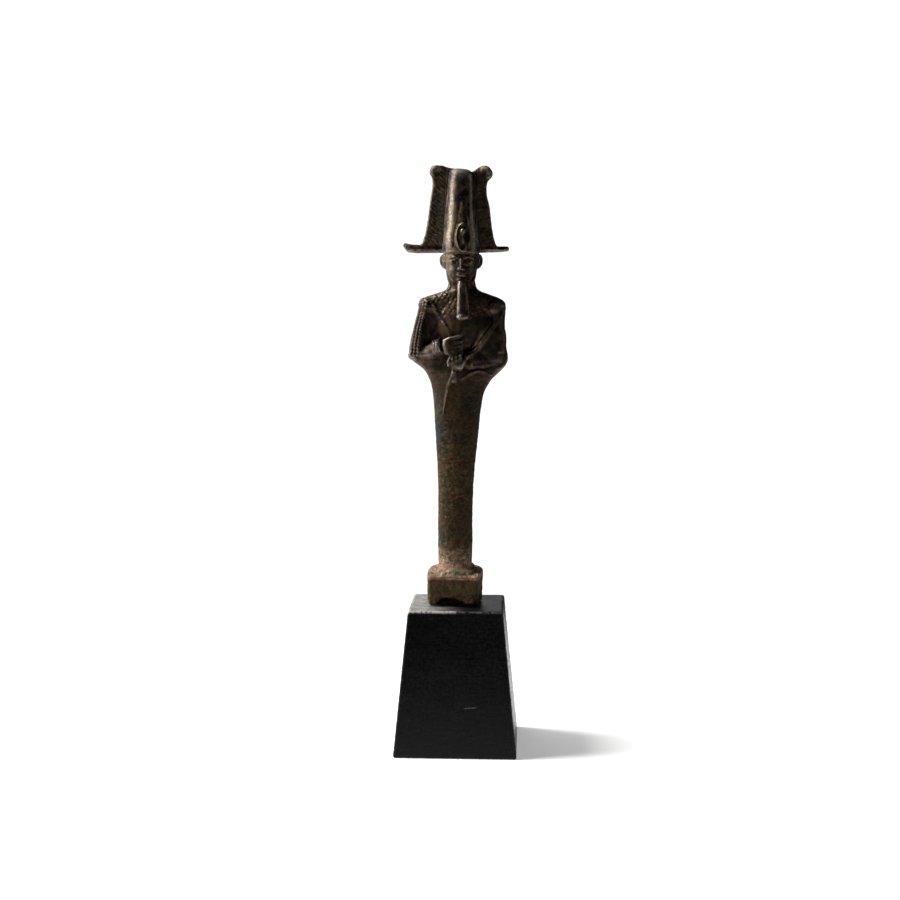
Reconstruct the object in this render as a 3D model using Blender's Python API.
"""Bronze figure of Osiris on a tapered black plinth.

Run with: blender --background --python part.py
Metres, +Z up. The origin is the middle of the plinth's underside, and the figure faces -Y.
The casting is one solid, from the small block under its feet to the tips of its crown.
"""

from math import atan2, cos, pi, radians, sin

import bmesh
import bpy
from mathutils import Matrix, Vector

# Plinth, a tapered block of painted wood
PLINTH_FOOT_SIDE = 0.0420
PLINTH_TOP_SIDE = 0.0322
PLINTH_HEIGHT = 0.0495
PLINTH_EDGE_ROUND = 0.0006
SEAT_GAP = 0.0003

# Block that is cast in one with the figure, under its feet
BLOCK_WIDTH = 0.0198
BLOCK_FRONT_INSET = 0.0022  # how much narrower its front is than its back
BLOCK_FOOT_SHARE = 0.95  # the block is a little narrower at its foot
BLOCK_DEPTH = 0.0170
BLOCK_HEIGHT = 0.0103  # at its front edge
BLOCK_BACK_RISE = 0.0018  # how much higher its top is at the back
BLOCK_FRONT_CORNER = 0.0011
BLOCK_BACK_CORNER = 0.0045
BLOCK_RIM_ROUND = 0.0009
BREAK_DEPTH = 0.0045  # how far the broken underside runs back from the front
BREAK_HEIGHT = 0.0010  # how high the break is along most of the front
BREAK_ARCH_HEIGHT = 0.0027  # and at its arch, left of the middle
BLOCK_SIDE_SHIFT = -0.0004  # the block's middle, off the ankles' middle

# Figure, from its soles to the tips of its feathers
STATUE_HEIGHT = 0.1400
STATUE_SIDE_SHIFT = -0.0004  # the ankles' middle, off the plinth's middle

# The figure's own forms are written in parts of its height, 140 to the whole: one part is a millimetre here.
PARTS_IN_HEIGHT = 140.0
PART = STATUE_HEIGHT / PARTS_IN_HEIGHT
SOLE_HEIGHT = PLINTH_HEIGHT + SEAT_GAP + BLOCK_HEIGHT
HEAD_X = 1.9  # the head and crown stand a little to the right of the ankles
ROOT_IN_BLOCK = 4.0  # how far the shins run down inside the block

RING_POINTS = 28
SMALL_RING_POINTS = 16
BRONZE_COLOUR = (0.085, 0.062, 0.043, 1.0)
PAINT_COLOUR = (0.010, 0.010, 0.011, 1.0)


def clear_scene():
    for obj in list(bpy.data.objects):
        bpy.data.objects.remove(obj)


def material(name, colour, metallic, roughness):
    made = bpy.data.materials.new(name)
    made.use_nodes = True
    shader = made.node_tree.nodes["Principled BSDF"]
    shader.inputs["Base Color"].default_value = colour
    shader.inputs["Metallic"].default_value = metallic
    shader.inputs["Roughness"].default_value = roughness
    return made


def add_object(name, mesh, collection):
    obj = bpy.data.objects.new(name, mesh)
    collection.objects.link(obj)
    return obj


def on_figure(x, y, height):
    """A point of the figure, from parts to metres in the object's own frame."""
    return Vector((x * PART + STATUE_SIDE_SHIFT, y * PART, height * PART + SOLE_HEIGHT))


def ring(left, right, front, back, squareness, count):
    """Points round a superellipse that fills the given extents, seen from above."""
    x_mid, x_half = (left + right) / 2, (right - left) / 2
    y_mid, y_half = (front + back) / 2, (back - front) / 2
    points = []
    for i in range(count):
        turn = 2 * pi * i / count
        c, s = cos(turn), sin(turn)
        reach = (abs(c) ** squareness + abs(s) ** squareness) ** (-1 / squareness)
        points.append((x_mid + x_half * c * reach, y_mid + y_half * s * reach))
    return points


def loft(name, stations, collection, squareness=2.4, count=RING_POINTS):
    """A closed form through level sections: each station is height, left, right, front, back."""
    bm = bmesh.new()
    rings = []
    for height, *extents in stations:
        outline = ring(*extents, squareness, count)
        rings.append([bm.verts.new(on_figure(x, y, height)) for x, y in outline])
    for lower, upper in zip(rings, rings[1:]):
        for i in range(count):
            j = (i + 1) % count
            bm.faces.new((lower[i], lower[j], upper[j], upper[i]))
    bm.faces.new(reversed(rings[0]))
    bm.faces.new(rings[-1])
    mesh = bpy.data.meshes.new(name)
    bm.to_mesh(mesh)
    bm.free()
    return add_object(name, mesh, collection)


def smooth_route(points, steps):
    """Points on a Catmull-Rom curve through the route's own points, with steps between each two."""
    p = [Vector(q) for q in points]
    p = [2 * p[0] - p[1], *p, 2 * p[-1] - p[-2]]
    route = []
    for a, b, c, d in zip(p, p[1:], p[2:], p[3:]):
        for k in range(steps):
            t = k / steps
            route.append(
                0.5 * (2 * b + (c - a) * t + (2 * a - 5 * b + 4 * c - d) * t**2
                       + (3 * b - a - 3 * c + d) * t**3)
            )
    return [*route, p[-2]]


def tube(name, route, radii, collection, steps=4, depth_share=1.0, resolution=2):
    """A round bar along a route, thick at each of its points as radii says, made a mesh with closed ends.
    depth_share flattens it, front to back, without moving its route."""
    places = smooth_route([(x, y / depth_share, h) for x, y, h in route], steps)
    widths = [v.x for v in smooth_route([(r, 0, 0) for r in radii], steps)]
    curve = bpy.data.curves.new(name, "CURVE")
    curve.dimensions = "3D"
    curve.bevel_depth = PART
    curve.bevel_resolution = resolution
    curve.use_fill_caps = True
    spline = curve.splines.new("POLY")
    spline.points.add(len(places) - 1)
    for point, place, width in zip(spline.points, places, widths):
        point.co = (*(place * PART), 1.0)
        point.radius = width
    bar = add_object(name, curve, collection)
    bar.matrix_world = Matrix.Translation(on_figure(0, 0, 0)) @ Matrix.Diagonal((1, depth_share, 1, 1))
    return as_mesh(bar, collection)


def as_mesh(obj, collection):
    """The same shape as a closed mesh, in place of a curve."""
    bpy.context.view_layer.update()
    name = obj.name
    evaluated = obj.evaluated_get(bpy.context.evaluated_depsgraph_get())
    mesh = bpy.data.meshes.new_from_object(evaluated)
    mesh.transform(obj.matrix_world)
    bm = bmesh.new()
    bm.from_mesh(mesh)
    bmesh.ops.remove_doubles(bm, verts=bm.verts, dist=1e-6)
    bmesh.ops.recalc_face_normals(bm, faces=bm.faces)
    bm.to_mesh(mesh)
    bm.free()
    bpy.data.objects.remove(obj)
    return add_object(name, mesh, collection)


def pebble(name, centre, half_sizes, collection, turn=0.0, rounding=0.45):
    """A rounded box for a fist or a cobra's hood. Rounding is a share of its thinnest half size, and turn tips it,
    in degrees, in the front view."""
    bm = bmesh.new()
    bmesh.ops.create_cube(bm, size=2.0)
    half = Vector(half_sizes) * PART
    bmesh.ops.scale(bm, vec=half, verts=bm.verts)
    bmesh.ops.bevel(
        bm, geom=list(bm.edges), offset=min(half) * 2 * rounding, segments=3, profile=0.5, affect="EDGES",
        clamp_overlap=True,
    )
    bmesh.ops.rotate(bm, matrix=Matrix.Rotation(radians(turn), 3, "Y"), verts=bm.verts)
    bmesh.ops.translate(bm, vec=on_figure(*centre), verts=bm.verts)
    mesh = bpy.data.meshes.new(name)
    bm.to_mesh(mesh)
    bm.free()
    return add_object(name, mesh, collection)


def body(collection):
    """Feet, shroud, elbows, shoulders and neck in one form. The front is negative."""
    stations = [
        # height, left, right, front, back
        (-ROOT_IN_BLOCK, -5.4, 5.4, -6.4, 4.6),
        (0.9, -5.9, 5.8, -8.0, 5.0),
        (2.2, -5.8, 5.7, -7.0, 5.0),
        (3.6, -5.7, 5.6, -5.6, 4.9),
        (6.0, -6.0, 5.6, -5.0, 4.8),
        (15.0, -6.4, 5.7, -5.0, 4.9),
        (25.0, -6.2, 5.8, -5.3, 4.7),
        (34.6, -6.3, 6.1, -5.5, 4.7),
        (45.0, -6.9, 7.4, -5.8, 5.0),
        (55.0, -7.5, 8.3, -6.0, 5.4),
        (61.6, -7.9, 9.1, -6.1, 5.4),
        (65.7, -8.5, 11.0, -6.1, 5.1),
        (69.9, -10.6, 15.2, -6.1, 4.8),
        (72.4, -13.7, 17.3, -6.1, 4.7),
        (74.6, -16.1, 17.8, -6.1, 4.6),
        (77.0, -16.2, 17.5, -6.1, 4.6),
        (82.2, -15.2, 17.1, -6.2, 4.6),
        (88.0, -13.8, 16.7, -6.0, 4.7),
        (92.4, -12.6, 16.9, -5.4, 4.6),
        (94.0, -12.2, 16.2, -4.9, 4.4),
        (96.3, -7.4, 11.2, -4.3, 4.2),
        (98.0, -3.0, 7.0, -3.7, 4.4),
        (103.0, -2.2, 6.2, -3.6, 4.6),
    ]
    return loft("body", stations, collection, squareness=2.2)


def head(collection):
    """Jaw, cheeks and brow, on plain proportions, up inside the crown."""
    stations = []
    for height, half_width, front, back in (
        (99.0, 2.6, -5.4, 4.0),
        (100.3, 3.5, -6.3, 4.7),
        (102.2, 4.5, -6.6, 5.2),
        (105.0, 5.2, -6.7, 5.8),
        (108.0, 5.6, -6.6, 6.2),
        (110.5, 5.8, -6.5, 6.4),
        (113.0, 5.6, -6.0, 6.0),
    ):
        stations.append((height, HEAD_X - half_width, HEAD_X + half_width, front, back))
    return loft("head", stations, collection, squareness=2.1, count=24)


def nose(collection):
    """A plain straight nose on the face's own midline."""
    stations = [
        (102.9, HEAD_X - 1.15, HEAD_X + 1.15, -7.7, -5.0),
        (103.9, HEAD_X - 1.15, HEAD_X + 1.15, -8.0, -5.0),
        (106.0, HEAD_X - 0.75, HEAD_X + 0.75, -7.4, -5.0),
        (108.2, HEAD_X - 0.55, HEAD_X + 0.55, -6.8, -5.0),
    ]
    return loft("nose", stations, collection, count=12)


def ear(name, side, collection):
    x, y, height = HEAD_X + side * 6.1, 0.6, 107.0
    return tube(
        name, [(x - side * 0.9, y, height - 2.4), (x, y, height), (x - side * 0.1, y, height + 2.5)],
        [0.6, 1.25, 0.7], collection, depth_share=1.3, resolution=1,
    )


def beard(collection):
    """The long plaited beard, with the metal behind it that joins it to throat and chest."""
    stations = [
        (87.7, 1.2, 3.9, -8.6, -5.2),
        (88.5, 0.9, 4.2, -9.3, -5.0),
        (91.0, 0.9, 4.2, -9.0, -4.6),
        (96.0, 1.1, 4.0, -8.2, -3.4),
        (101.6, 1.2, 3.8, -7.2, -3.0),
    ]
    return loft("beard", stations, collection, count=SMALL_RING_POINTS)


def white_crown(collection):
    """The tall middle of the crown, its knob worn to a straight round top."""
    stations = [
        (109.6, -4.0, 7.6, -6.9, 6.4),
        (112.4, -4.7, 7.9, -6.7, 6.3),
        (116.0, -4.2, 7.4, -6.3, 6.0),
        (120.2, -3.7, 6.9, -5.8, 5.6),
        (125.0, -3.2, 6.4, -5.2, 5.2),
        (132.0, -2.7, 6.3, -4.6, 4.8),
        (136.2, -2.4, 6.1, -4.2, 4.6),
        (137.8, -1.7, 5.3, -3.5, 3.9),
        (138.3, -0.4, 3.6, -2.0, 2.4),
    ]
    return loft("white_crown", stations, collection, squareness=2.1, count=24)


def feather(name, side, foot, neck, tip, top, shoulder, collection):
    """One tall plume beside the crown. Its points are x out from the head's middle, and height."""
    low = 110.9
    edge = smooth_route([(*foot, 0), (*neck, 0), (*tip, 0), (*top, 0), (*shoulder, 0)], 4)
    outline = [(0.0, low), (foot[0] + 0.4, low), *[(p.x, p.y) for p in edge], (0.0, shoulder[1])]
    curve = bpy.data.curves.new(name, "CURVE")
    curve.dimensions = "2D"
    curve.fill_mode = "BOTH"
    curve.extrude = 1.1 * PART
    curve.bevel_depth = 0.5 * PART
    curve.bevel_resolution = 1
    curve.offset = -0.5 * PART
    spline = curve.splines.new("POLY")
    spline.points.add(len(outline) - 1)
    for point, (x, height) in zip(spline.points, outline):
        point.co = (side * x * PART, height * PART, 0.0, 1.0)
    spline.use_cyclic_u = True
    plate = add_object(name, curve, collection)
    upright = Matrix.Rotation(radians(90), 4, "X")
    plate.matrix_world = Matrix.Translation(on_figure(HEAD_X, 0.6, 0)) @ upright
    return as_mesh(plate, collection)


def horn(name, route, radii, collection):
    """A ram's horn that runs out level under the feathers."""
    return tube(name, route, radii, collection, depth_share=1.25)


def uraeus(collection):
    """The rearing cobra at the front of the crown, and its tail up the crown."""
    hood = pebble("cobra_hood", (HEAD_X + 0.7, -6.5, 115.1), (2.35, 1.3, 4.1), collection, rounding=0.49)
    tail = tube(
        "cobra_tail", [(HEAD_X + 0.7, -6.4, 117.5), (HEAD_X + 0.7, -5.8, 121.5), (HEAD_X + 0.6, -5.0, 127.5)],
        [1.3, 1.0, 0.7], collection,
    )
    return [hood, tail]


def arms(collection):
    """Upper arms down the sides, forearms under the shroud, and two fists, one over the other."""
    made = []
    for name, shoulder, elbow, wrist, fist, fist_half, tip in (
        ("left", (-9.8, -0.6, 91.6), (-13.4, -1.6, 77.2), (-6.2, -6.0, 78.2), (-0.1, -8.6, 79.7), (3.5, 2.1, 2.9), 8),
        ("right", (13.9, -0.6, 90.6), (14.4, -1.6, 75.0), (6.4, -6.0, 71.6), (0.9, -8.2, 73.6), (2.8, 1.9, 2.5), -24),
    ):
        made.append(tube(f"upper_arm_{name}", [shoulder, elbow], [2.7, 3.0], collection, depth_share=1.35))
        made.append(tube(f"forearm_{name}", [elbow, wrist, fist], [2.9, 2.7, 2.2], collection))
        made.append(pebble(f"fist_{name}", fist, fist_half, collection, turn=tip))
    return made


def crook(collection):
    """The shaft from the right shoulder through the lower fist, its butt on the thigh, and its hook."""
    shaft = tube(
        "crook_shaft",
        [(14.6, -4.9, 88.4), (8.2, -7.2, 78.8), (3.0, -8.8, 73.6), (0.2, -8.0, 68.4),
         (-1.8, -6.4, 65.2), (-3.7, -5.9, 56.4)],
        [1.0, 1.0, 1.0, 1.0, 0.8, 0.6], collection,
    )
    hook = tube(
        "crook_hook", [(14.6, -4.9, 88.4), (14.9, -4.3, 90.8), (13.0, -4.3, 92.8), (10.4, -4.9, 92.0), (9.6, -5.6, 89.6)],
        [1.0, 1.0, 0.9, 0.9, 0.8], collection,
    )
    return [shaft, hook]


def flail(collection):
    """Its handle from the upper fist to the left shoulder, its lashes down the arm, and its butt below the fists."""
    made = [
        tube("flail_handle", [(-0.6, -8.9, 81.0), (-4.6, -6.9, 86.4), (-9.4, -4.6, 92.4)], [0.9, 0.9, 0.9], collection),
        tube("flail_butt", [(0.9, -8.6, 73.0), (0.7, -7.3, 67.2)], [1.0, 1.0], collection, depth_share=1.3),
    ]
    for i in range(3):
        step = 1.25 * i
        route = [(-9.4 - 0.5 * step, -4.4, 92.6), (-11.0 - step, -4.0, 84.5), (-12.2 - step, -3.6 + 0.6 * step, 76.4)]
        made.append(tube(f"flail_lash_{i + 1}", route, [0.7, 0.85, 0.9], collection, resolution=1))
    return made


def bevel_edges(bm, edges, offset, segments):
    bmesh.ops.bevel(bm, geom=edges, offset=offset, segments=segments, profile=0.5, affect="EDGES")


def foot_block(collection):
    """The block under the feet: narrower in front and at its foot, higher at the back, with round back corners."""
    bm = bmesh.new()
    bmesh.ops.create_cube(bm, size=1.0)
    for vert in bm.verts:
        width = BLOCK_WIDTH - BLOCK_FRONT_INSET if vert.co.y < 0 else BLOCK_WIDTH
        taper = BLOCK_FOOT_SHARE if vert.co.z < 0 else 1.0
        rise = BLOCK_BACK_RISE if vert.co.y > 0 and vert.co.z > 0 else 0.0
        vert.co = Vector((vert.co.x * width * taper, vert.co.y * BLOCK_DEPTH, vert.co.z * BLOCK_HEIGHT + rise))
    for at_back, radius, segments in ((True, BLOCK_BACK_CORNER, 5), (False, BLOCK_FRONT_CORNER, 2)):
        upright = [e for e in bm.edges if abs((e.verts[0].co - e.verts[1].co).normalized().z) > 0.9]
        corners = [e for e in upright if (e.verts[0].co.y > 0.45 * BLOCK_DEPTH) == at_back]
        bevel_edges(bm, [e for e in corners if abs(e.verts[0].co.y) > 0.45 * BLOCK_DEPTH], radius, segments)
    rim = [e for e in bm.edges if all(v.co.z > 0.4 * BLOCK_HEIGHT for v in e.verts)]
    bevel_edges(bm, rim, BLOCK_RIM_ROUND, 2)
    centre = Vector((STATUE_SIDE_SHIFT + BLOCK_SIDE_SHIFT, 0, SOLE_HEIGHT - BLOCK_HEIGHT / 2))
    bmesh.ops.translate(bm, vec=centre, verts=bm.verts)
    mesh = bpy.data.meshes.new("foot_block")
    bm.to_mesh(mesh)
    bm.free()
    return add_object("foot_block", mesh, collection)


def underside_break(collection):
    """What is broken away from the front of the underside: a low strip with an arch, steep on its left."""
    under = -0.002
    beyond = BLOCK_WIDTH
    outline = [
        (-beyond, under),
        (-beyond, BREAK_HEIGHT * 0.8),
        (-0.30 * BLOCK_WIDTH, BREAK_HEIGHT),
        (-0.22 * BLOCK_WIDTH, BREAK_ARCH_HEIGHT * 0.9),
        (-0.13 * BLOCK_WIDTH, BREAK_ARCH_HEIGHT),
        (0.04 * BLOCK_WIDTH, BREAK_ARCH_HEIGHT * 0.82),
        (0.23 * BLOCK_WIDTH, BREAK_HEIGHT),
        (beyond, BREAK_HEIGHT * 1.15),
        (beyond, under),
    ]
    bm = bmesh.new()
    low = SOLE_HEIGHT - BLOCK_HEIGHT
    y_back = -BLOCK_DEPTH / 2 + BREAK_DEPTH
    face = bm.faces.new([bm.verts.new((x + STATUE_SIDE_SHIFT, y_back, low + z)) for x, z in outline])
    away = bmesh.ops.extrude_face_region(bm, geom=[face])["geom"]
    moved = [v for v in away if isinstance(v, bmesh.types.BMVert)]
    bmesh.ops.translate(bm, vec=(0, -2 * BREAK_DEPTH, 0), verts=moved)
    bmesh.ops.recalc_face_normals(bm, faces=bm.faces)
    mesh = bpy.data.meshes.new("underside_break")
    bm.to_mesh(mesh)
    bm.free()
    return add_object("underside_break", mesh, collection)


def boolean(target, operation, other):
    modifier = target.modifiers.new(other.name, "BOOLEAN")
    modifier.operation = operation
    modifier.object = other
    other.hide_render = True
    other.display_type = "WIRE"


def osiris(shown, helpers):
    """The casting: every form united into one solid, and the break cut from it."""
    figure = body(shown)
    figure.name = "osiris_figure"
    forms = [
        head(helpers),
        nose(helpers),
        ear("ear_left", -1, helpers),
        ear("ear_right", 1, helpers),
        beard(helpers),
        white_crown(helpers),
        feather("feather_left", -1, (13.0, 112.6), (9.6, 134.2), (11.2, 137.4), (8.4, 139.5), (3.0, 137.6), helpers),
        feather("feather_right", 1, (11.3, 112.8), (8.3, 132.0), (11.1, 136.2), (8.6, 139.2), (3.8, 136.6), helpers),
        horn("horn_left", [(1.0, 0.6, 111.6), (-12.5, 0.6, 111.4), (-15.6, 0.4, 111.7), (-17.7, 0.2, 113.0)],
             [1.4, 1.3, 1.35, 0.6], helpers),
        horn("horn_right", [(3.0, 0.6, 111.5), (13.4, 0.6, 111.3), (17.6, 0.5, 111.4)], [1.4, 1.1, 0.9], helpers),
        *uraeus(helpers),
        *arms(helpers),
        *crook(helpers),
        *flail(helpers),
        foot_block(helpers),
    ]
    for form in forms:
        boolean(figure, "UNION", form)
    boolean(figure, "DIFFERENCE", underside_break(helpers))
    return figure


def plinth(collection):
    """A square block that tapers to the top, its edges a little softened."""
    bm = bmesh.new()
    bmesh.ops.create_cube(bm, size=1.0)
    for vert in bm.verts:
        side = PLINTH_TOP_SIDE if vert.co.z > 0 else PLINTH_FOOT_SIDE
        vert.co = Vector((vert.co.x * side, vert.co.y * side, (vert.co.z + 0.5) * PLINTH_HEIGHT))
    bevel_edges(bm, list(bm.edges), PLINTH_EDGE_ROUND, 2)
    mesh = bpy.data.meshes.new("plinth")
    bm.to_mesh(mesh)
    bm.free()
    return add_object("plinth", mesh, collection)


def finish(obj, surface, sharp_degrees):
    obj.data.materials.clear()
    obj.data.materials.append(surface)
    obj.data.shade_smooth()
    obj.data.set_sharp_from_angle(angle=radians(sharp_degrees))


def main():
    clear_scene()
    shown = bpy.data.collections.new("Bronze Osiris figure")
    helpers = bpy.data.collections.new("Forms and cutters")
    for collection in (shown, helpers):
        bpy.context.scene.collection.children.link(collection)
    finish(osiris(shown, helpers), material("Bronze", BRONZE_COLOUR, 0.8, 0.45), 40)
    finish(plinth(shown), material("Black paint", PAINT_COLOUR, 0.0, 0.35), 30)


main()
